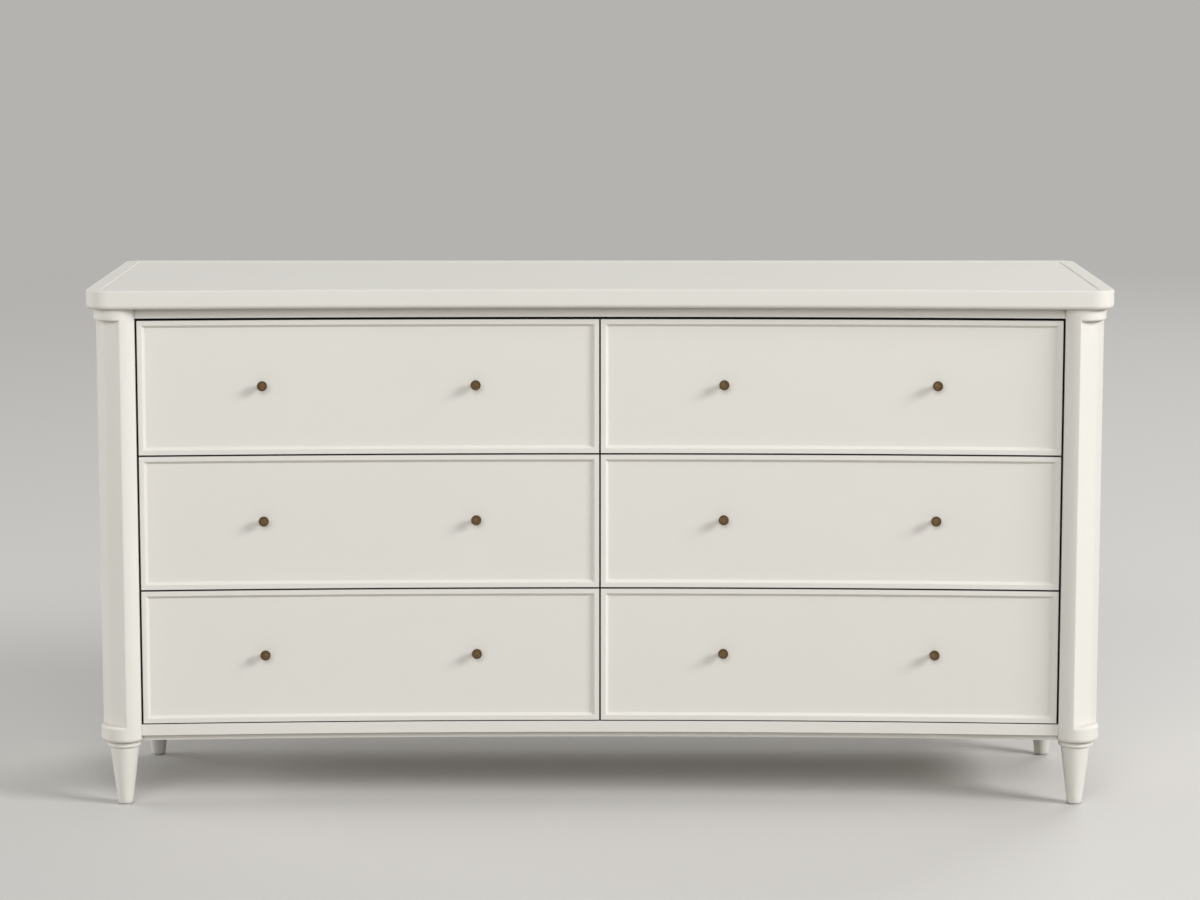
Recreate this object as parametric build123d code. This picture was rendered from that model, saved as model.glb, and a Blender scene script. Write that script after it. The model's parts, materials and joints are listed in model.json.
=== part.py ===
from build123d import *
import os
from math import asin, atan, degrees, sqrt

# A dresser with a concave front and six drawers, in millimetres.
# X runs along its length, the front faces -Y, and it stands on Z = 0 with the origin under its middle.

# Overall size
width = 1626.0
depth = 508.0
height = 837.0

# Front: every long piece follows arcs about one upright axis in front of the dresser
bow_depth = 28.0
face_setback = 27.0

# Top
top_thickness = 30.0
top_overhang = 10.0
top_rear_overhang = 10.0
top_front_corner = 35.0
top_rear_corner = 22.0
top_lower_round = 6.5
top_arris = 2.0
edging_width = 25.0
edging_groove = 1.4
field_drop = 0.6

# Rails
rail_thickness = 22.0
top_rail_height = 16.5
bottom_rail_height = 28.0
cove_radius = 10.0

# Corner posts
ring_radius = 36.5
cant_sink = 3.5
cant_turn = 34.0
knee_inset = 13.0
knee_round = 24.0
front_stile_offset = 6.0
stile_round = 2.5
side_edge_offset = 11.0
post_inner_offset = 29.9
post_back_offset = 27.5
capital_drop = 2.8
capital_round = 3.5
base_upper_round = 4.0
base_lower_round = 7.0

# Carcass boards
base_thickness = 27.0
side_thickness = 20.0
side_inset = 16.0
side_frame = 42.0
side_recess = 4.0
side_bevel = 5.0
back_thickness = 8.0
partition_thickness = 24.0
cleat_height = 70.0

# Feet
foot_height = 106.0
collar_height = 8.5
collar_radius = 27.5
collar_round = 2.0
foot_top_radius = 23.5
foot_tip_radius = 11.8
foot_tip_round = 1.5
foot_spacing = 330.0
rear_foot_inset = 10.0
dowel_radius = 5.0
dowel_length = 18.0
dowel_clearance = 0.1
glide_radius = 9.5
glide_thickness = 2.0

# Drawer fronts
drawer_rows = ("bottom", "middle", "top")
drawer_gap = 2.8
drawer_top_gap = 4.0
drawer_foot_gap = 1.8
front_thickness = 20.0
front_arris = 1.5
frame_band = 7.5
frame_bevel = 4.3
panel_recess = 4.5

# Drawer boxes
box_board = 13.0
box_height = 152.0
box_lift = 16.0
box_rear_gap = 14.0
bottom_thickness = 6.0
bottom_lift = 12.0
groove_depth = 6.0
groove_clearance = 0.2
bottom_front_clearance = 0.3

# Runners: a rail on the drawer inside a channel on the carcass
runner_space = 13.0
runner_height = 45.0
runner_wall = 1.5
runner_lip = 10.5
runner_play = 0.25
runner_web_gap = 0.8
runner_lift = 62.0
runner_front_gap = 6.0
runner_rear_gap = 8.0

# Knobs
knob_spacing = 339.0
knob_lift = 3.0
knob_length = 15.5
knob_head_radius = 8.0
knob_head_depth = 4.5
knob_foot_radius = 5.0
knob_foot_depth = 1.5
knob_neck_radius = 3.6
knob_rim = 1.6
knob_dish = 1.1
screw_radius = 2.0
screw_clearance = 0.15
screw_depth = 9.5
screw_head_radius = 4.6
screw_head_depth = 2.4

# Levels
top_low = height - top_thickness
top_rail_low = top_low - top_rail_height
capital_low = top_rail_low - capital_drop
bottom_rail_high = foot_height + bottom_rail_height
base_high = foot_height + base_thickness

# Posts and the bow
post_x = width / 2 - top_overhang - ring_radius
post_y = -depth / 2 + top_overhang + ring_radius
post_cut_x = post_x - post_inner_offset
post_back_y = post_y + post_back_offset
bow_radius = (post_x**2 + bow_depth**2) / (2 * bow_depth)
corner_reach = sqrt((bow_radius + top_front_corner) ** 2 - (width / 2 - top_front_corner) ** 2)
bow_axis_y = -depth / 2 + top_front_corner - corner_reach
bow_axis = Axis((0, bow_axis_y, 0), (0, 0, 1))
face_radius = bow_radius + face_setback
rail_back_radius = face_radius + rail_thickness
front_back_radius = face_radius + front_thickness
panel_radius = face_radius + panel_recess
knob_seat_radius = sqrt(panel_radius**2 - knob_foot_radius**2)

# Carcass places
side_out_x = post_x + ring_radius - side_inset
side_in_x = side_out_x - side_thickness
band_x = post_x + sqrt(ring_radius**2 - post_back_offset**2)
carcass_back_y = depth / 2 - top_rear_overhang
back_front_y = carcass_back_y - back_thickness
partition_x = partition_thickness / 2

# Drawer places
front_inner_x = drawer_gap / 2
front_outer_x = post_cut_x - drawer_gap
stack_low = bottom_rail_high + drawer_foot_gap
stack_high = top_rail_low - drawer_top_gap
front_height = (stack_high - stack_low + drawer_gap) / len(drawer_rows) - drawer_gap
box_inner_x = partition_x + runner_space
box_outer_x = post_cut_x - runner_space
box_back_y = back_front_y - box_rear_gap
runner_front_y = post_back_y + runner_front_gap
runner_back_y = box_back_y - runner_rear_gap


def front_low(row):
    """Lower edge of the drawer fronts in a row, counted from the bottom."""
    return stack_low + row * (front_height + drawer_gap)


def bow_point(radius, x):
    """Point of a bow arc at a given X."""
    return (x, bow_axis_y + sqrt(radius**2 - x**2))


def bow_arc(radius, x0, x1):
    """Stretch of a bow arc between two X values."""
    return ThreePointArc(bow_point(radius, x0), bow_point(radius, (x0 + x1) / 2), bow_point(radius, x1))


def joined(front, back):
    """Plan enclosed by a front line, a back line and straight ends."""
    return make_face([front, back, Line(front @ 0, back @ 0), Line(front @ 1, back @ 1)])


def bow_strip(x0, x1, front_radius, back_radius):
    """Plan between two bow arcs, with ends along the drawers' travel."""
    return joined(bow_arc(front_radius, x0, x1), bow_arc(back_radius, x0, x1))


def bow_board(x0, x1, front_radius, back_y):
    """Plan from a bow arc straight back to a given Y."""
    return joined(bow_arc(front_radius, x0, x1), Line((x0, back_y), (x1, back_y)))


def prism(plan, low, high):
    """Upright solid on a plan."""
    return extrude(Pos(0, 0, low) * plan, amount=high - low, dir=(0, 0, 1))


def block(x0, x1, y0, y1, z0, z1):
    """Square board between six planes."""
    return Pos(x0, y0, z0) * Box(x1 - x0, y1 - y0, z1 - z0, align=Align.MIN)


def bow_revolve(outline):
    """Profile in bow radius and Z, carried along the bow over the whole width."""
    half_turn = degrees(asin(width / 2 / bow_radius))
    profile = Pos(0, bow_axis_y, 0) * (Plane.YZ * outline)
    return revolve(profile.rotate(bow_axis, -half_turn), axis=bow_axis, revolution_arc=2 * half_turn)


def mirrored(part):
    """Copy on the other side of the middle."""
    return mirror(part, about=Plane.YZ)


def both_sides(parts):
    """Pieces with their copies on the other side of the middle."""
    return parts + [mirrored(part) for part in parts]


def top_pieces():
    """Field panel of the top and the four mitred lengths of edging round it."""
    end_x = width / 2
    rear_y = depth / 2
    plan = bow_board(-end_x, end_x, bow_radius, rear_y)
    plan = fillet(plan.vertices().group_by(Axis.Y)[-1], top_rear_corner)
    plan = fillet(plan.vertices().group_by(Axis.Y)[0], top_front_corner)
    slab = prism(plan, top_low, height)
    slab = fillet(slab.faces().sort_by(Axis.Z)[0].edges(), top_lower_round)
    slab = fillet(slab.faces().sort_by(Axis.Z)[-1].edges(), top_arris)

    field_x = end_x - edging_width
    field_back_y = rear_y - edging_width
    field_radius = bow_radius + edging_width
    field_plan = bow_board(-field_x, field_x, field_radius, field_back_y)
    field = prism(field_plan, top_low, height - field_drop)
    field = chamfer(field.faces().sort_by(Axis.Z)[-1].edges(), edging_groove)
    ring = slab - prism(field_plan, top_low, height)
    ring = chamfer(ring.faces().sort_by(Axis.Z)[-1].inner_wires()[0].edges(), edging_groove)

    field_front_y = bow_point(field_radius, field_x)[1]
    reach = 2 * edging_width
    turns = [(-1, -1), (1, -1), (1, 1), (-1, 1)]
    inner = [(turn_x * field_x, field_front_y if turn_y < 0 else field_back_y) for turn_x, turn_y in turns]
    outer = [(x + turn_x * reach, y + turn_y * reach) for (x, y), (turn_x, turn_y) in zip(inner, turns)]
    edging = []
    for first in range(len(inner)):
        second = (first + 1) % len(inner)
        corners = [(0, 0), inner[first], outer[first], outer[second], inner[second]]
        edging.append(ring & prism(make_face(Polyline(*corners, close=True)), top_low, height))
    return field, edging


def top_rail():
    """Curved frieze between the posts, under the top."""
    return prism(bow_strip(-post_cut_x, post_cut_x, face_radius, rail_back_radius), top_rail_low, top_low)


def bottom_rail():
    """Curved rail under the drawers, with a cove below its face."""
    cove_high = foot_height + cove_radius
    back = Polyline(
        (face_radius, cove_high),
        (face_radius, bottom_rail_high),
        (rail_back_radius, bottom_rail_high),
        (rail_back_radius, foot_height),
        (face_radius + cove_radius, foot_height),
    )
    cove_middle = cove_radius / sqrt(2)
    cove = ThreePointArc(back @ 1, (face_radius + cove_middle, foot_height + cove_middle), back @ 0)
    rail = bow_revolve(make_face([back, cove]))
    ends = block(-post_cut_x, post_cut_x, -depth, depth, foot_height, bottom_rail_high)
    return rail & ends


def rod(radius, length):
    """Round bar that rises from the origin."""
    return Cylinder(radius, length, align=(Align.CENTER, Align.CENTER, Align.MIN))


def dowel_socket():
    """Hole for a foot's dowel."""
    return Pos(0, 0, foot_height) * rod(dowel_radius + dowel_clearance, dowel_length + dowel_clearance)


def rim_point(across, turn):
    """Point of the post's outline at a given distance to one side of its axis, a turn on from the front."""
    return Vector(across, -sqrt(ring_radius**2 - across**2)).rotate(Axis.Z, turn)


def canted_plan():
    """What is cut from the post's outer corner: a canted panel, a step back from the stile, and its knee."""
    front_edge = rim_point(-front_stile_offset, 0)
    side_edge = rim_point(side_edge_offset, 90)
    panel_start = front_edge + Vector(0, cant_sink)
    along = Vector(1, 0).rotate(Axis.Z, cant_turn)
    knee = panel_start + along * ((side_edge.X - knee_inset - panel_start.X) / along.X)
    panel = FilletPolyline(panel_start, knee, side_edge, radius=knee_round)
    reach = 2 * ring_radius
    waste = Polyline(side_edge, (reach, side_edge.Y), (reach, -reach), (panel_start.X, -reach), panel_start)
    return make_face([panel, waste])


def right_post():
    """Round post with its outer corner canted between a capital and a base ring."""
    shaft_low = base_high - base_upper_round
    shaft_high = capital_low + capital_round
    shaft = Pos(0, 0, shaft_low) * rod(ring_radius, shaft_high - shaft_low)
    shaft -= prism(canted_plan(), shaft_low, shaft_high)
    shaft = fillet(shaft.edges().filter_by(Axis.Z).sort_by(Axis.Y)[0], stile_round)
    capital = Pos(0, 0, capital_low) * rod(ring_radius, top_low - capital_low)
    capital = fillet(capital.edges().group_by(Axis.Z)[0], capital_round)
    ring = Pos(0, 0, foot_height) * rod(ring_radius, base_thickness)
    ring = fillet(ring.edges().group_by(Axis.Z)[0], base_lower_round)
    ring = fillet(ring.edges().group_by(Axis.Z)[-1], base_upper_round)
    reach = 2 * ring_radius
    trim = block(-post_inner_offset, reach, -reach, post_back_offset, 0, height)
    return Pos(post_x, post_y, 0) * (((shaft + capital + ring) & trim) - dowel_socket())


def foot_places():
    """Axes of the four feet by name."""
    rear_x = post_x - rear_foot_inset
    rear_y = post_y + foot_spacing
    return {
        "front_left": (-post_x, post_y),
        "front_right": (post_x, post_y),
        "rear_left": (-rear_x, rear_y),
        "rear_right": (rear_x, rear_y),
    }


def foot():
    """Turned tapered foot with a collar, and a dowel that enters the piece above it."""
    collar_low = foot_height - collar_height
    outline = [
        (0, glide_thickness),
        (foot_tip_radius, glide_thickness),
        (foot_top_radius, collar_low),
        (collar_radius, collar_low),
        (collar_radius, foot_height),
        (dowel_radius, foot_height),
        (dowel_radius, foot_height + dowel_length),
        (0, foot_height + dowel_length),
    ]
    turned = revolve(make_face(Plane.XZ * Polyline(*outline, close=True)), axis=Axis.Z)
    rims = turned.edges().filter_by(GeomType.CIRCLE)
    collar_rims = [edge for edge in rims if edge.radius > (foot_top_radius + collar_radius) / 2]
    turned = fillet(collar_rims, min(collar_round, collar_height / 3))
    tip_rim = turned.edges().filter_by(GeomType.CIRCLE).group_by(Axis.Z)[0]
    return fillet(tip_rim, foot_tip_round)


def glide():
    """Round pad under a foot."""
    return rod(glide_radius, glide_thickness)


def base_panel():
    """Bottom board, notched round the posts, with its end edges in line with the base rings."""
    plan = bow_board(-post_cut_x, post_cut_x, rail_back_radius, carcass_back_y)
    wing = Pos(post_cut_x, post_back_y) * Rectangle(
        band_x - post_cut_x, carcass_back_y - post_back_y, align=Align.MIN
    )
    plan += wing + mirrored(wing)
    panel = prism(plan, foot_height, base_high)
    low_ends = panel.faces().sort_by(Axis.Z)[0].edges().group_by(Axis.X)
    panel = fillet(low_ends[0] + low_ends[-1], base_lower_round)
    for name, (x, y) in foot_places().items():
        if name.startswith("rear"):
            panel -= Pos(x, y, 0) * dowel_socket()
    return panel


def right_side():
    """Side panel with a recessed field and a top band in line with the capital."""
    panel = block(side_in_x, side_out_x, post_back_y, carcass_back_y, base_high, top_low)
    band = block(side_out_x, band_x, post_back_y, carcass_back_y, capital_low, top_low)
    field_y = (post_back_y + carcass_back_y) / 2
    field_z = (base_high + capital_low) / 2
    outer_face = Plane(origin=(side_out_x, field_y, field_z), x_dir=(0, 1, 0), z_dir=(-1, 0, 0))
    field = outer_face * Rectangle(
        carcass_back_y - post_back_y - 2 * side_frame,
        capital_low - base_high - 2 * side_frame,
    )
    recess = extrude(field, amount=side_recess, taper=degrees(atan(side_bevel / side_recess)))
    return panel + band - recess


def back_panel():
    """Thin back board between the sides."""
    return block(-side_in_x, side_in_x, back_front_y, carcass_back_y, base_high, top_low)


def centre_partition():
    """Upright board between the two stacks of drawers."""
    return prism(bow_board(-partition_x, partition_x, rail_back_radius, back_front_y), base_high, top_low)


def runner_middle(row):
    """Height of the runners in a row."""
    return front_low(row) + box_lift + runner_lift


def cleats():
    """Battens that bring the outer runners level with the posts."""
    right = []
    for row in range(len(drawer_rows)):
        middle = runner_middle(row)
        low = middle - cleat_height / 2
        right.append(block(post_cut_x, side_in_x, post_back_y, back_front_y, low, low + cleat_height))
    return both_sides(right)


def channel(seat_x, towards, reach, outer_height, row):
    """Open channel with its web on a seat plane and two lips that reach away from it."""
    middle = runner_middle(row)
    half = outer_height / 2
    tip_x = seat_x + towards * reach
    web_x = seat_x + towards * runner_wall
    low_x, high_x = sorted((seat_x, tip_x))
    hollow_low, hollow_high = sorted((web_x, tip_x))
    whole = block(low_x, high_x, runner_front_y, runner_back_y, middle - half, middle + half)
    hollow_half = half - runner_wall
    return whole - block(
        hollow_low, hollow_high, runner_front_y, runner_back_y, middle - hollow_half, middle + hollow_half
    )


def cabinet_runners():
    """Channels on the partition and on the cleats."""
    right = []
    for row in range(len(drawer_rows)):
        right.append(channel(partition_x, 1, runner_lip, runner_height, row))
        right.append(channel(post_cut_x, -1, runner_lip, runner_height, row))
    return both_sides(right)


def drawer_runners(row):
    """Rails on the two sides of a right-hand drawer, inside the channels."""
    rail_height = runner_height - 2 * runner_wall - 2 * runner_play
    rail_reach = runner_space - runner_wall - runner_web_gap
    return [
        channel(box_inner_x, -1, rail_reach, rail_height, row),
        channel(box_outer_x, 1, rail_reach, rail_height, row),
    ]


def knob_planes(row):
    """Seats of a right-hand drawer's knobs on its panel, facing forward."""
    middle_x = (front_inner_x + front_outer_x) / 2
    z = front_low(row) + front_height / 2 + knob_lift
    planes = []
    for x in (middle_x - knob_spacing / 2, middle_x + knob_spacing / 2):
        y = bow_point(knob_seat_radius, x)[1]
        planes.append(Plane(origin=(x, y, z), z_dir=(-x, bow_axis_y - y, 0)))
    return planes


def drawer_front(row):
    """Curved front with a narrow flat frame, a bevel and a recessed panel."""
    low = front_low(row)
    high = low + front_height
    front = prism(bow_strip(front_inner_x, front_outer_x, face_radius, front_back_radius), low, high)
    front = fillet(front.faces().sort_by(Axis.Y)[0].edges(), front_arris)
    bevel_foot = frame_band + frame_bevel
    spare = panel_recess
    mouth = frame_band - spare * frame_bevel / panel_recess
    pocket_plan = joined(
        bow_arc(face_radius - spare, front_inner_x + mouth, front_outer_x - mouth),
        bow_arc(panel_radius, front_inner_x + bevel_foot, front_outer_x - bevel_foot),
    )
    pocket_profile = Polyline(
        (face_radius - spare, low + mouth),
        (face_radius - spare, high - mouth),
        (panel_radius, high - bevel_foot),
        (panel_radius, low + bevel_foot),
        close=True,
    )
    pocket = bow_revolve(make_face(pocket_profile))
    front -= pocket & prism(pocket_plan, low, high)
    for seat in knob_planes(row):
        front -= seat * Cylinder(screw_radius + screw_clearance, 2 * (front_thickness + knob_length))
    return front


def knob():
    """Turned knob on a trumpet neck, with a shallow dish in its head and a blind screw hole."""
    head_low = knob_length - knob_head_depth
    neck = ThreePointArc(
        (knob_foot_radius, knob_foot_depth),
        (knob_neck_radius, head_low / 2),
        (knob_head_radius, head_low),
    )
    rim_start = (knob_head_radius, knob_length - knob_rim)
    rim_end = (knob_head_radius - knob_rim, knob_length)
    rim_lean = knob_rim * (1 - 1 / sqrt(2))
    rim = ThreePointArc(rim_start, (knob_head_radius - rim_lean, knob_length - rim_lean), rim_end)
    dish_low = knob_length - knob_dish
    dish_radius = (rim_end[0] ** 2 + knob_dish**2) / (2 * knob_dish)
    half_way = rim_end[0] / 2
    dish_rise = dish_radius - sqrt(dish_radius**2 - half_way**2)
    dish = ThreePointArc(rim_end, (half_way, dish_low + dish_rise), (0, dish_low))
    hole_radius = screw_radius + screw_clearance
    shank = Polyline(
        (0, dish_low),
        (0, screw_depth + screw_clearance),
        (hole_radius, screw_depth + screw_clearance),
        (hole_radius, 0),
        (knob_foot_radius, 0),
        (knob_foot_radius, knob_foot_depth),
    )
    profile = make_face([shank, neck, Line(neck @ 1, rim_start), rim, dish])
    return revolve(Plane.XZ * profile, axis=Axis.Z)


def knob_screw():
    """Pan-head screw through the front into a knob."""
    grip = front_back_radius - knob_seat_radius
    shank = Pos(0, 0, -grip) * rod(screw_radius, grip + screw_depth)
    head = Pos(0, 0, -grip - screw_head_depth) * rod(screw_head_radius, screw_head_depth)
    head = fillet(head.faces().sort_by(Axis.Z)[0].edges(), screw_head_depth / 2)
    return shank + head


def drawer_box(row):
    """Inner side, outer side, back and bottom of a right-hand drawer."""
    low = front_low(row) + box_lift
    high = low + box_height
    bottom_low = low + bottom_lift
    bottom_high = bottom_low + bottom_thickness
    inner_face = box_inner_x + box_board
    outer_face = box_outer_x - box_board
    groove = block(
        inner_face - groove_depth,
        outer_face + groove_depth,
        -depth,
        box_back_y,
        bottom_low,
        bottom_high + groove_clearance,
    )
    inner_plan = bow_board(box_inner_x, inner_face, front_back_radius, box_back_y)
    outer_plan = bow_board(outer_face, box_outer_x, front_back_radius, box_back_y)
    inner_side = prism(inner_plan, low, high) - groove
    outer_side = prism(outer_plan, low, high) - groove
    back = block(inner_face, outer_face, box_back_y - box_board, box_back_y, bottom_high, high)
    bottom_plan = bow_board(
        inner_face - groove_depth + groove_clearance,
        outer_face + groove_depth - groove_clearance,
        front_back_radius + bottom_front_clearance,
        box_back_y,
    )
    return inner_side, outer_side, back, prism(bottom_plan, bottom_low, bottom_high)


def write(name, *solids):
    """Save the solids of one named piece."""
    shape = solids[0] if len(solids) == 1 else Compound(children=list(solids))
    export_step(shape, f"parts/{name}.step")


def write_carcass():
    """Save every piece that stays put."""
    field, edging = top_pieces()
    write("top_panel", field)
    write("top_edging", *edging)
    write("top_rail", top_rail())
    write("bottom_rail", bottom_rail())
    write("right_post", right_post())
    write("left_post", mirrored(right_post()))
    write("right_side_panel", right_side())
    write("left_side_panel", mirrored(right_side()))
    write("back_panel", back_panel())
    write("centre_partition", centre_partition())
    write("base_panel", base_panel())
    write("runner_cleats", *cleats())
    write("cabinet_runners", *cabinet_runners())
    places = foot_places()
    for name, (x, y) in places.items():
        write(f"{name}_foot", Pos(x, y, 0) * foot())
    write("floor_glides", *[Pos(x, y, 0) * glide() for x, y in places.values()])


def write_drawers():
    """Save the pieces of each drawer; a left-hand drawer mirrors the right-hand one beside it."""
    for row, row_name in enumerate(drawer_rows):
        inner_side, outer_side, back, bottom = drawer_box(row)
        knobs = [seat * piece for seat in knob_planes(row) for piece in (knob(), knob_screw())]
        pieces = {
            "front": [drawer_front(row)],
            "inner_side": [inner_side],
            "outer_side": [outer_side],
            "back": [back],
            "bottom": [bottom],
            "knobs": knobs,
            "runners": drawer_runners(row),
        }
        for piece_name, solids in pieces.items():
            write(f"{row_name}_right_drawer_{piece_name}", *solids)
            write(f"{row_name}_left_drawer_{piece_name}", *[mirrored(solid) for solid in solids])


os.makedirs("parts", exist_ok=True)
write_carcass()
write_drawers()
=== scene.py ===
import json
import math

import bpy
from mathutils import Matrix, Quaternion, Vector


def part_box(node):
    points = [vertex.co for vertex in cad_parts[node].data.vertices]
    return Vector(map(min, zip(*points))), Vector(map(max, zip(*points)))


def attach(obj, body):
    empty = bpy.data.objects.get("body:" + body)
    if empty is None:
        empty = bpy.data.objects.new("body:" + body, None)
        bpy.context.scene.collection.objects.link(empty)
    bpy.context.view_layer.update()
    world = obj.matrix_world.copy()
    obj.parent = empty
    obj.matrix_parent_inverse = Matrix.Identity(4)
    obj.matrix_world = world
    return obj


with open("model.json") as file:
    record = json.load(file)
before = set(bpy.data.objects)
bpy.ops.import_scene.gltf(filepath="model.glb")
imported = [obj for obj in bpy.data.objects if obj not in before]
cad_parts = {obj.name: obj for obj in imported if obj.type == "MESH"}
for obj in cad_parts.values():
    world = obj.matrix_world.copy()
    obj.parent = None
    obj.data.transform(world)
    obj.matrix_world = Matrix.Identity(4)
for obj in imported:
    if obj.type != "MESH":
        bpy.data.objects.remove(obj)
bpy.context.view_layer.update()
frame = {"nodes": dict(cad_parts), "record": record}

# Axes of the dresser
WIDTH_AXIS = 0
DEPTH_AXIS = 1
FORWARD = (0.0, -1.0, 0.0)

# Camera, in metres and degrees; its lens shift, in picture widths, keeps upright edges nearly upright
PICTURE_WIDTH = 1200
SENSOR_WIDTH = 36.0
CAMERA_PLACE = (0.0, -5.5, 1.3904)
CAMERA_PITCH = 7.501
CAMERA_SHIFT = -0.06
FOCAL_PIXELS = 3357.3

# Light, in metres and degrees: bearings turn to the right of the front, heights are above the horizon
KEY_LIGHT = {"turn": 64.0, "height": 25.0, "far": 10.5, "wide": 3.7, "tall": 2.6, "strength": 2.24}
FRONT_LIGHT = {"turn": -6.0, "height": 25.0, "far": 10.5, "wide": 8.0, "tall": 5.0, "strength": 1.42}
SIDE_LIGHT = {"turn": -100.0, "height": 12.0, "far": 10.5, "wide": 8.0, "tall": 4.0, "strength": 1.45}
REAR_LIGHT = {"turn": 150.0, "height": 32.0, "far": 10.5, "wide": 5.0, "tall": 4.0, "strength": 1.00}
AIM = (0.0, 0.0, 0.42)
SKY_STRENGTH = 0.20
SKY_COLOUR = (1.0, 0.995, 0.985)
CEILING_COLOUR = (0.95, 0.94, 0.92)
CEILING_START = 0.2
CEILING_END = 0.75

# Floor
FLOOR_HALF = 800.0
FLOOR_COLOUR = (0.70, 0.685, 0.66)
FLOOR_BOUNCE = (0.36, 0.345, 0.32)
FAR_COLOUR = (0.46, 0.45, 0.43)
FAR_START = 2.0
FAR_END = 9.0
FLOOR_SHADE = 0.97
FLOOR_ROUGHNESS = 0.7
FLOOR_SPECULAR = 0.2

# Pan-head screws of the runners and the back, in metres. The dome is in shares of the head's radius and
# height, the sides are a multiple of the cross's twelve corners, and each screw is turned further than the
# last by an angle in radians
HEAD_RADIUS = 0.0041
HEAD_HEIGHT = 0.0021
HEAD_SUNK = 0.0004
HEAD_DOME = ((1.0, 0.35), (0.94, 0.64), (0.80, 0.88), (0.60, 1.0))
HEAD_SIDES = 24
CROSS_REACH = 0.0021
CROSS_HALF = 0.0005
CROSS_DEPTH = 0.0011
SCREW_TURN = 0.7
SEAT_IN_RAIL = 0.0092
RAIL_TO_WEB = 0.0008
RAIL_END_TO_SCREW = 0.026
EDGE_TO_CLEAT = 0.0152
CLEAT_SCREW_RISE = 0.021
BACK_END_TO_SCREW = 0.045
PARTITION_SCREWS = 5

# Drawers, by row and side
ROWS = ("bottom", "middle", "top")
SIDES = ("left", "right")

# Finishes, as linear colours
LACQUER = (0.780, 0.760, 0.712)
LACQUER_SHADE = (0.768, 0.748, 0.699)
BRASS = (0.335, 0.215, 0.108)
BRASS_DARK = (0.085, 0.053, 0.021)
MAPLE = (0.66, 0.49, 0.31)
MAPLE_DARK = (0.47, 0.31, 0.17)
POPLAR = (0.60, 0.47, 0.32)
POPLAR_DARK = (0.43, 0.32, 0.20)
ZINC = (0.74, 0.74, 0.73)
ZINC_DARK = (0.63, 0.63, 0.62)
NYLON = (0.70, 0.68, 0.63)
NYLON_DARK = (0.58, 0.56, 0.52)
# Painted shade: near black deep in the gaps round the drawers
PAINTED_GAP_SHADE = (0.008, 0.007, 0.006)
# Painted shade tint for the creases of the lacquer
CREASE_SHADE_TINT = (0.84, 0.82, 0.78)
PORE_TINT = (0.74, 0.68, 0.60)
NO_TINT = (1.0, 1.0, 1.0)

# Painted shade in gaps and creases and the brass's patina in its hollows, with their reach in metres, and
# the grain, drawn out along the wood
GAP_SHADE_REACH = 0.03
CREASE_SHADE_REACH = 0.008
RECESS_REACH = 0.006
CREASE_SAMPLES = 6
RING_STRETCH = 0.07
PORE_STRETCH = 0.018
NOISE_ROUGHNESS = 0.55


def new_material(name):
    """Empty node material with a Principled shader joined to its output."""
    material = bpy.data.materials.new(name)
    material.use_nodes = True
    tree = material.node_tree
    tree.nodes.clear()
    output = tree.nodes.new("ShaderNodeOutputMaterial")
    shader = tree.nodes.new("ShaderNodeBsdfPrincipled")
    tree.links.new(shader.outputs["BSDF"], output.inputs["Surface"])
    return material, tree, shader


def place(tree, scale):
    """Row-frame coordinates stretched by a scale for each axis."""
    coordinates = tree.nodes.new("ShaderNodeTexCoord")
    mapping = tree.nodes.new("ShaderNodeMapping")
    mapping.inputs["Scale"].default_value = scale
    tree.links.new(coordinates.outputs["Object"], mapping.inputs["Vector"])
    return mapping.outputs["Vector"]


def noise(tree, scale, detail, stretch=(1, 1, 1), distortion=0.0):
    """Noise from 0 to 1 with so many features in a metre."""
    node = tree.nodes.new("ShaderNodeTexNoise")
    node.inputs["Scale"].default_value = scale
    node.inputs["Detail"].default_value = detail
    node.inputs["Roughness"].default_value = NOISE_ROUGHNESS
    node.inputs["Distortion"].default_value = distortion
    tree.links.new(place(tree, stretch), node.inputs["Vector"])
    return node.outputs["Fac"]


def ramp(tree, value, low, high, low_out=0.0, high_out=1.0):
    """Value carried from one range to another, held at the ends."""
    node = tree.nodes.new("ShaderNodeMapRange")
    node.inputs["From Min"].default_value = low
    node.inputs["From Max"].default_value = high
    node.inputs["To Min"].default_value = low_out
    node.inputs["To Max"].default_value = high_out
    tree.links.new(value, node.inputs["Value"])
    return node.outputs["Result"]


def mix(tree, factor, first, second, blend="MIX"):
    """Colour between two colours, each a tuple or a socket."""
    node = tree.nodes.new("ShaderNodeMix")
    node.data_type = "RGBA"
    node.blend_type = blend
    sockets = {socket.identifier: socket for socket in node.inputs}
    for key, value in (("Factor_Float", factor), ("A_Color", first), ("B_Color", second)):
        if isinstance(value, bpy.types.NodeSocket):
            tree.links.new(value, sockets[key])
        elif isinstance(value, tuple):
            sockets[key].default_value = (*value, 1.0)
        else:
            sockets[key].default_value = value
    return next(socket for socket in node.outputs if socket.identifier == "Result_Color")


def bump(tree, height, strength, depth, under=None):
    """Normal of bumps so many metres deep, laid over another normal where one is given."""
    node = tree.nodes.new("ShaderNodeBump")
    node.inputs["Strength"].default_value = strength
    node.inputs["Distance"].default_value = depth
    tree.links.new(height, node.inputs["Height"])
    if under is not None:
        tree.links.new(under, node.inputs["Normal"])
    return node.outputs["Normal"]


def coat(tree, shader, colour, roughness, normal):
    """Joins a finish to its shader."""
    tree.links.new(colour, shader.inputs["Base Color"])
    tree.links.new(roughness, shader.inputs["Roughness"])
    tree.links.new(normal, shader.inputs["Normal"])


def creases(tree, distance):
    """From 0 in a tight corner to 1 on an open face."""
    node = tree.nodes.new("ShaderNodeAmbientOcclusion")
    node.samples = CREASE_SAMPLES
    node.inputs["Distance"].default_value = distance
    return node.outputs["AO"]


def painted_gap_shade(tree, colour):
    """Colour with painted shade that falls to near black deep in the narrow gaps round the drawers."""
    openness = ramp(tree, creases(tree, GAP_SHADE_REACH), low=0.14, high=0.43)
    return mix(tree, openness, PAINTED_GAP_SHADE, colour)


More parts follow.
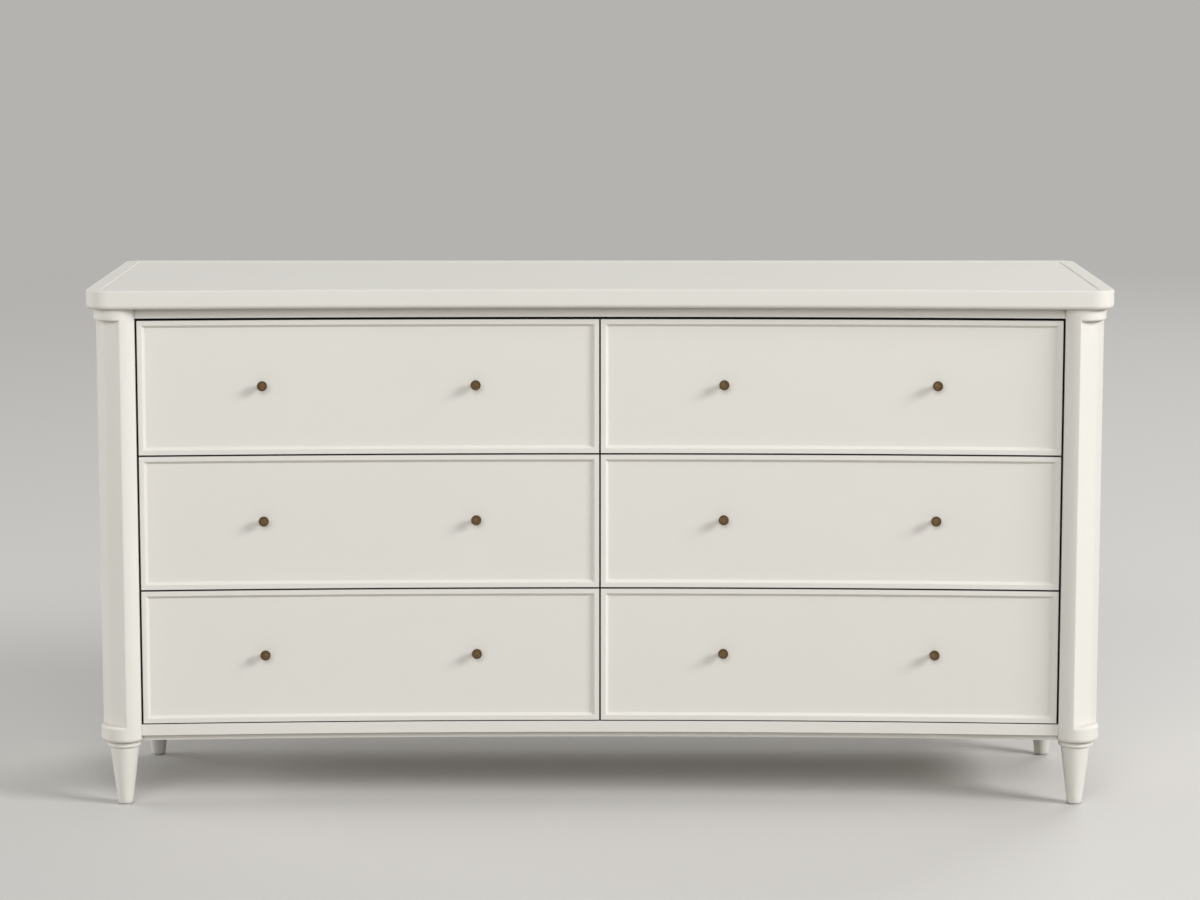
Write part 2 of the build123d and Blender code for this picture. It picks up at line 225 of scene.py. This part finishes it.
def white_lacquer():
    """Sprayed satin lacquer: soft clouding, a fine orange-peel skin, a little painted shade in the creases
    and painted shade near black deep in the gaps.
    """
    material, tree, shader = new_material("white_lacquer")
    clouds = ramp(tree, noise(tree, scale=2.6, detail=3.0), low=0.35, high=0.68)
    colour = mix(tree, clouds, LACQUER, LACQUER_SHADE)
    # Painted shade: a little darker in the creases
    crease_openness = ramp(tree, creases(tree, CREASE_SHADE_REACH), low=0.15, high=0.75)
    crease_shade = mix(tree, crease_openness, CREASE_SHADE_TINT, NO_TINT)
    colour = mix(tree, 1.0, colour, crease_shade, "MULTIPLY")
    # Painted shade: near black deep in the gaps round the drawers
    colour = painted_gap_shade(tree, colour)
    smudges = noise(tree, scale=14.0, detail=5.0)
    roughness = ramp(tree, smudges, low=0.3, high=0.7, low_out=0.46, high_out=0.52)
    peel = noise(tree, scale=380.0, detail=2.0)
    sanding = noise(tree, scale=60.0, detail=3.0, stretch=(0.15, 1, 1))
    sanded = bump(tree, sanding, strength=0.06, depth=0.0006)
    skin = bump(tree, peel, strength=0.10, depth=0.0003, under=sanded)
    coat(tree, shader, colour, roughness, skin)
    return material


def facing_front(tree):
    """1 on a face that looks straight forward, 0 on one that looks sideways."""
    coordinates = tree.nodes.new("ShaderNodeTexCoord")
    facing = tree.nodes.new("ShaderNodeVectorMath")
    facing.operation = "DOT_PRODUCT"
    facing.inputs[1].default_value = FORWARD
    tree.links.new(coordinates.outputs["Normal"], facing.inputs[0])
    return facing.outputs["Value"]


def antique_brass():
    """Turned brass darkened with age; its front face is brighter, partly from the wear of hands rubbing it
    and partly as a painted highlight.
    """
    material, tree, shader = new_material("antique_brass")
    shader.inputs["Metallic"].default_value = 1.0
    spots = noise(tree, scale=420.0, detail=4.0)
    patina = ramp(tree, spots, low=0.40, high=0.70, high_out=0.5)
    colour = mix(tree, patina, BRASS, BRASS_DARK)
    # Painted highlight on the front face, together with the wear of rubbing
    wear_and_highlight = ramp(tree, facing_front(tree), low=0.935, high=1.0, low_out=0.15)
    colour = mix(tree, wear_and_highlight, BRASS_DARK, colour)
    openness = ramp(tree, creases(tree, RECESS_REACH), low=0.25, high=0.85)
    colour = mix(tree, openness, BRASS_DARK, colour)
    roughness = ramp(tree, spots, low=0.3, high=0.7, low_out=0.30, high_out=0.48)
    pits = noise(tree, scale=900.0, detail=3.0)
    pitted = bump(tree, pits, strength=0.12, depth=0.0002)
    coat(tree, shader, colour, roughness, pitted)
    return material


def wood(name, light, dark, along, gap_shaded=False):
    """Sealed wood with its grain along one axis; fixed wood gets painted shade, near black, deep in the
    gaps.
    """
    material, tree, shader = new_material(name)
    ring_stretch = [RING_STRETCH if axis == along else 1.0 for axis in range(3)]
    pore_stretch = [PORE_STRETCH if axis == along else 1.0 for axis in range(3)]
    rings = noise(tree, scale=26.0, detail=6.0, stretch=ring_stretch, distortion=0.8)
    pores = noise(tree, scale=420.0, detail=3.0, stretch=pore_stretch)
    colour = mix(tree, ramp(tree, rings, low=0.36, high=0.66), light, dark)
    pore_shade = mix(tree, ramp(tree, pores, low=0.56, high=0.72), NO_TINT, PORE_TINT)
    colour = mix(tree, 1.0, colour, pore_shade, "MULTIPLY")
    if gap_shaded:
        # Painted shade: near black deep in the gaps
        colour = painted_gap_shade(tree, colour)
    roughness = ramp(tree, rings, low=0.3, high=0.7, low_out=0.42, high_out=0.56)
    porous = bump(tree, pores, strength=0.25, depth=0.0003)
    grained = bump(tree, rings, strength=0.10, depth=0.0006, under=porous)
    coat(tree, shader, colour, roughness, grained)
    return material


def zinc_steel():
    """Zinc-plated sheet with drawn streaks along the runners."""
    material, tree, shader = new_material("zinc_steel")
    shader.inputs["Metallic"].default_value = 1.0
    streaks = noise(tree, scale=700.0, detail=3.0, stretch=(1, 0.02, 1))
    spangle = noise(tree, scale=160.0, detail=3.0)
    colour = mix(tree, ramp(tree, spangle, low=0.35, high=0.65), ZINC, ZINC_DARK)
    roughness = ramp(tree, streaks, low=0.3, high=0.7, low_out=0.34, high_out=0.48)
    drawn = bump(tree, streaks, strength=0.12, depth=0.0002)
    coat(tree, shader, colour, roughness, drawn)
    return material


def nylon():
    """Moulded nylon of the floor glides."""
    material, tree, shader = new_material("nylon")
    grain = noise(tree, scale=300.0, detail=4.0)
    colour = mix(tree, grain, NYLON, NYLON_DARK)
    roughness = ramp(tree, grain, low=0.3, high=0.7, low_out=0.45, high_out=0.6)
    moulded = bump(tree, grain, strength=0.15, depth=0.0002)
    coat(tree, shader, colour, roughness, moulded)
    return material


def dress(materials):
    """Gives every CAD node its finish."""
    for part in frame["record"]["subparts"]:
        node = part["node"]
        slot = part["material_slot"]
        if slot == "drawer_wood":
            slot = "maple_lengthways" if node.endswith("side") else "maple_crossways"
        mesh_materials = frame["nodes"][node].data.materials
        mesh_materials.clear()
        mesh_materials.append(materials[slot])


def screw_head():
    """Points, faces and smooth flags of a domed head with a cross recess, facing up from Z = 0."""
    outline = [(HEAD_RADIUS, -HEAD_SUNK)]
    outline.extend((across * HEAD_RADIUS, up * HEAD_HEIGHT) for across, up in HEAD_DOME)
    points = []
    for radius, level in outline:
        for step in range(HEAD_SIDES):
            angle = 2 * math.pi * step / HEAD_SIDES
            points.append((radius * math.cos(angle), radius * math.sin(angle), level))
    quarter = ((CROSS_REACH, CROSS_HALF), (CROSS_HALF, CROSS_HALF), (CROSS_HALF, CROSS_REACH))
    cross = []
    for _ in range(4):
        cross.extend(quarter)
        quarter = [(-y, x) for x, y in quarter]
    rim = len(points) - HEAD_SIDES
    upper = len(points)
    lower = upper + len(cross)
    points.extend((x, y, HEAD_HEIGHT) for x, y in cross)
    points.extend((x, y, HEAD_HEIGHT - CROSS_DEPTH) for x, y in cross)
    faces = []
    smooth = []
    for ring in range(len(outline) - 1):
        base = ring * HEAD_SIDES
        above = base + HEAD_SIDES
        for step in range(HEAD_SIDES):
            after = (step + 1) % HEAD_SIDES
            faces.append((base + step, base + after, above + after, above + step))
            smooth.append(True)
    per_corner = HEAD_SIDES // len(cross)
    for step in range(HEAD_SIDES):
        faces.append((rim + step, rim + (step + 1) % HEAD_SIDES, upper + step // per_corner))
    for step in range(len(cross)):
        after = (step + 1) % len(cross)
        faces.append((rim + (step + 1) * per_corner % HEAD_SIDES, upper + after, upper + step))
        faces.append((upper + step, upper + after, lower + after, lower + step))
    faces.append(tuple(range(lower, lower + len(cross))))
    faces.append(tuple(reversed(range(HEAD_SIDES))))
    smooth.extend([False] * (len(faces) - len(smooth)))
    return points, faces, smooth


def add_screws(name, body, seats, material):
    """Screw heads as one piece on a body; a seat is a place and the direction that its head faces."""
    head_points, head_faces, head_smooth = screw_head()
    points = []
    faces = []
    for number, (seat, facing) in enumerate(seats):
        turn = Quaternion((0, 0, 1), SCREW_TURN * number)
        stand = Vector(facing).to_track_quat("Z", "Y") @ turn
        start = len(points)
        points.extend(Vector(seat) + stand @ Vector(point) for point in head_points)
        faces.extend(tuple(start + corner for corner in face) for face in head_faces)
    mesh = bpy.data.meshes.new(name)
    mesh.from_pydata(points, [], faces)
    mesh.polygons.foreach_set("use_smooth", head_smooth * len(seats))
    mesh.materials.append(material)
    screws = bpy.data.objects.new(name, mesh)
    bpy.context.scene.collection.objects.link(screws)
    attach(screws, body)


def fasten(material):
    """Screws that hold the runners to drawers and carcass, and the back to partition and cleats."""
    back_low, back_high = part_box("back_panel")
    back_seats = []
    carcass_seats = []
    for row in ROWS:
        for side in SIDES:
            low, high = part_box(f"{row}_{side}_drawer_runners")
            middle = (low[2] + high[2]) / 2
            drawer_seats = []
            for y in (low[1] + RAIL_END_TO_SCREW, (low[1] + high[1]) / 2, high[1] - RAIL_END_TO_SCREW):
                drawer_seats.append(((low[0] + SEAT_IN_RAIL, y, middle), (-1, 0, 0)))
                drawer_seats.append(((high[0] - SEAT_IN_RAIL, y, middle), (1, 0, 0)))
                carcass_seats.append(((low[0] - RAIL_TO_WEB, y, middle), (1, 0, 0)))
                carcass_seats.append(((high[0] + RAIL_TO_WEB, y, middle), (-1, 0, 0)))
            add_screws(f"{row}_{side}_drawer_screws", f"{row}_{side}_drawer", drawer_seats, material)
            cleat_x = back_low[0] + EDGE_TO_CLEAT if side == "left" else back_high[0] - EDGE_TO_CLEAT
            for z in (middle - CLEAT_SCREW_RISE, middle + CLEAT_SCREW_RISE):
                back_seats.append(((cleat_x, back_high[1], z), (0, 1, 0)))
    for number in range(PARTITION_SCREWS):
        share = number / (PARTITION_SCREWS - 1)
        z = back_low[2] + BACK_END_TO_SCREW + share * (back_high[2] - back_low[2] - 2 * BACK_END_TO_SCREW)
        back_seats.append(((0.0, back_high[1], z), (0, 1, 0)))
    add_screws("runner_screws", "carcass", carcass_seats, material)
    add_screws("back_screws", "carcass", back_seats, material)


def looked_at(tree):
    """1 for the camera and for what mirrors or glass show, 0 for light that is scattered."""
    path = tree.nodes.new("ShaderNodeLightPath")
    seen = path.outputs["Is Camera Ray"]
    for kind in ("Is Glossy Ray", "Is Transmission Ray"):
        either = tree.nodes.new("ShaderNodeMath")
        either.operation = "MAXIMUM"
        tree.links.new(seen, either.inputs[0])
        tree.links.new(path.outputs[kind], either.inputs[1])
        seen = either.outputs["Value"]
    return seen


def fade_far_off(tree, shader):
    """Where the floor is looked at, an even pale ground takes over far from the dresser."""
    distance = tree.nodes.new("ShaderNodeVectorMath")
    distance.operation = "LENGTH"
    tree.links.new(place(tree, (1, 1, 1)), distance.inputs[0])
    share = tree.nodes.new("ShaderNodeMath")
    share.operation = "MULTIPLY"
    tree.links.new(ramp(tree, distance.outputs["Value"], FAR_START, FAR_END), share.inputs[0])
    tree.links.new(looked_at(tree), share.inputs[1])
    ground = tree.nodes.new("ShaderNodeEmission")
    ground.inputs["Color"].default_value = (*FAR_COLOUR, 1.0)
    both = tree.nodes.new("ShaderNodeMixShader")
    tree.links.new(share.outputs["Value"], both.inputs["Fac"])
    tree.links.new(shader.outputs["BSDF"], both.inputs[1])
    tree.links.new(ground.outputs["Emission"], both.inputs[2])
    output = next(node for node in tree.nodes if node.type == "OUTPUT_MATERIAL")
    tree.links.new(both.outputs["Shader"], output.inputs["Surface"])


def add_floor():
    """Plain pale floor under the dresser."""
    mesh = bpy.data.meshes.new("floor")
    corners = [(x * FLOOR_HALF, y * FLOOR_HALF, 0) for x, y in ((-1, -1), (1, -1), (1, 1), (-1, 1))]
    mesh.from_pydata(corners, [], [(0, 1, 2, 3)])
    floor = bpy.data.objects.new("floor", mesh)
    bpy.context.scene.collection.objects.link(floor)
    material, tree, shader = new_material("floor")
    shaded = tuple(FLOOR_SHADE * value for value in FLOOR_COLOUR)
    tone = mix(tree, noise(tree, scale=0.8, detail=3.0), FLOOR_COLOUR, shaded)
    tone = mix(tree, looked_at(tree), FLOOR_BOUNCE, tone)
    tree.links.new(tone, shader.inputs["Base Color"])
    shader.inputs["Roughness"].default_value = FLOOR_ROUGHNESS
    shader.inputs["Specular IOR Level"].default_value = FLOOR_SPECULAR
    fade_far_off(tree, shader)
    mesh.materials.append(material)


def add_softbox(name, turn, height, far, wide, tall, strength):
    """Soft studio light without glare; its strength is what reaches the aim."""
    light = bpy.data.lights.new(name, "AREA")
    light.shape = "RECTANGLE"
    light.size = wide
    light.size_y = tall
    light.energy = strength * math.pi * far**2
    lamp = bpy.data.objects.new(name, light)
    bearing = math.radians(turn)
    rise = math.radians(height)
    level = math.cos(rise)
    towards = Vector((math.sin(bearing) * level, -math.cos(bearing) * level, math.sin(rise)))
    lamp.location = Vector(AIM) + towards * far
    lamp.rotation_mode = "QUATERNION"
    lamp.rotation_quaternion = towards.to_track_quat("Z", "Y")
    lamp.visible_camera = False
    lamp.visible_glossy = False
    bpy.context.scene.collection.objects.link(lamp)


def add_sky():
    """Even studio light; where it is looked at, it runs from the far floor's colour to a white ceiling."""
    world = bpy.data.worlds.new("studio")
    bpy.context.scene.world = world
    world.use_nodes = True
    tree = world.node_tree
    tree.nodes.clear()
    output = tree.nodes.new("ShaderNodeOutputWorld")
    sky = tree.nodes.new("ShaderNodeBackground")
    sky.inputs["Color"].default_value = (*SKY_COLOUR, 1.0)
    sky.inputs["Strength"].default_value = SKY_STRENGTH
    backdrop = tree.nodes.new("ShaderNodeBackground")
    coordinates = tree.nodes.new("ShaderNodeTexCoord")
    direction = tree.nodes.new("ShaderNodeSeparateXYZ")
    tree.links.new(coordinates.outputs["Generated"], direction.inputs["Vector"])
    overhead = ramp(tree, direction.outputs["Z"], CEILING_START, CEILING_END)
    tree.links.new(mix(tree, overhead, FAR_COLOUR, CEILING_COLOUR), backdrop.inputs["Color"])
    both = tree.nodes.new("ShaderNodeMixShader")
    tree.links.new(looked_at(tree), both.inputs["Fac"])
    tree.links.new(sky.outputs["Background"], both.inputs[1])
    tree.links.new(backdrop.outputs["Background"], both.inputs[2])
    tree.links.new(both.outputs["Shader"], output.inputs["Surface"])


def add_camera():
    """Camera that frames the dresser as the photograph does."""
    camera = bpy.data.cameras.new("camera")
    camera.sensor_width = SENSOR_WIDTH
    camera.lens = FOCAL_PIXELS / PICTURE_WIDTH * SENSOR_WIDTH
    camera.shift_y = CAMERA_SHIFT
    camera.clip_end = 2 * FLOOR_HALF
    viewer = bpy.data.objects.new("camera", camera)
    viewer.location = CAMERA_PLACE
    viewer.rotation_euler = (math.radians(90.0 - CAMERA_PITCH), 0.0, 0.0)
    bpy.context.scene.collection.objects.link(viewer)
    bpy.context.scene.camera = viewer


bpy.context.scene.view_settings.view_transform = "Standard"
steel = zinc_steel()
dress({
    "white_lacquer": white_lacquer(),
    "knob_brass": antique_brass(),
    "maple_lengthways": wood("maple_lengthways", MAPLE, MAPLE_DARK, DEPTH_AXIS),
    "maple_crossways": wood("maple_crossways", MAPLE, MAPLE_DARK, WIDTH_AXIS),
    "carcass_wood": wood("poplar", POPLAR, POPLAR_DARK, DEPTH_AXIS, gap_shaded=True),
    "runner_steel": steel,
    "glide_plastic": nylon(),
})
fasten(steel)
add_floor()
add_softbox("key", **KEY_LIGHT)
add_softbox("front", **FRONT_LIGHT)
add_softbox("side", **SIDE_LIGHT)
add_softbox("rear", **REAR_LIGHT)
add_sky()
add_camera()
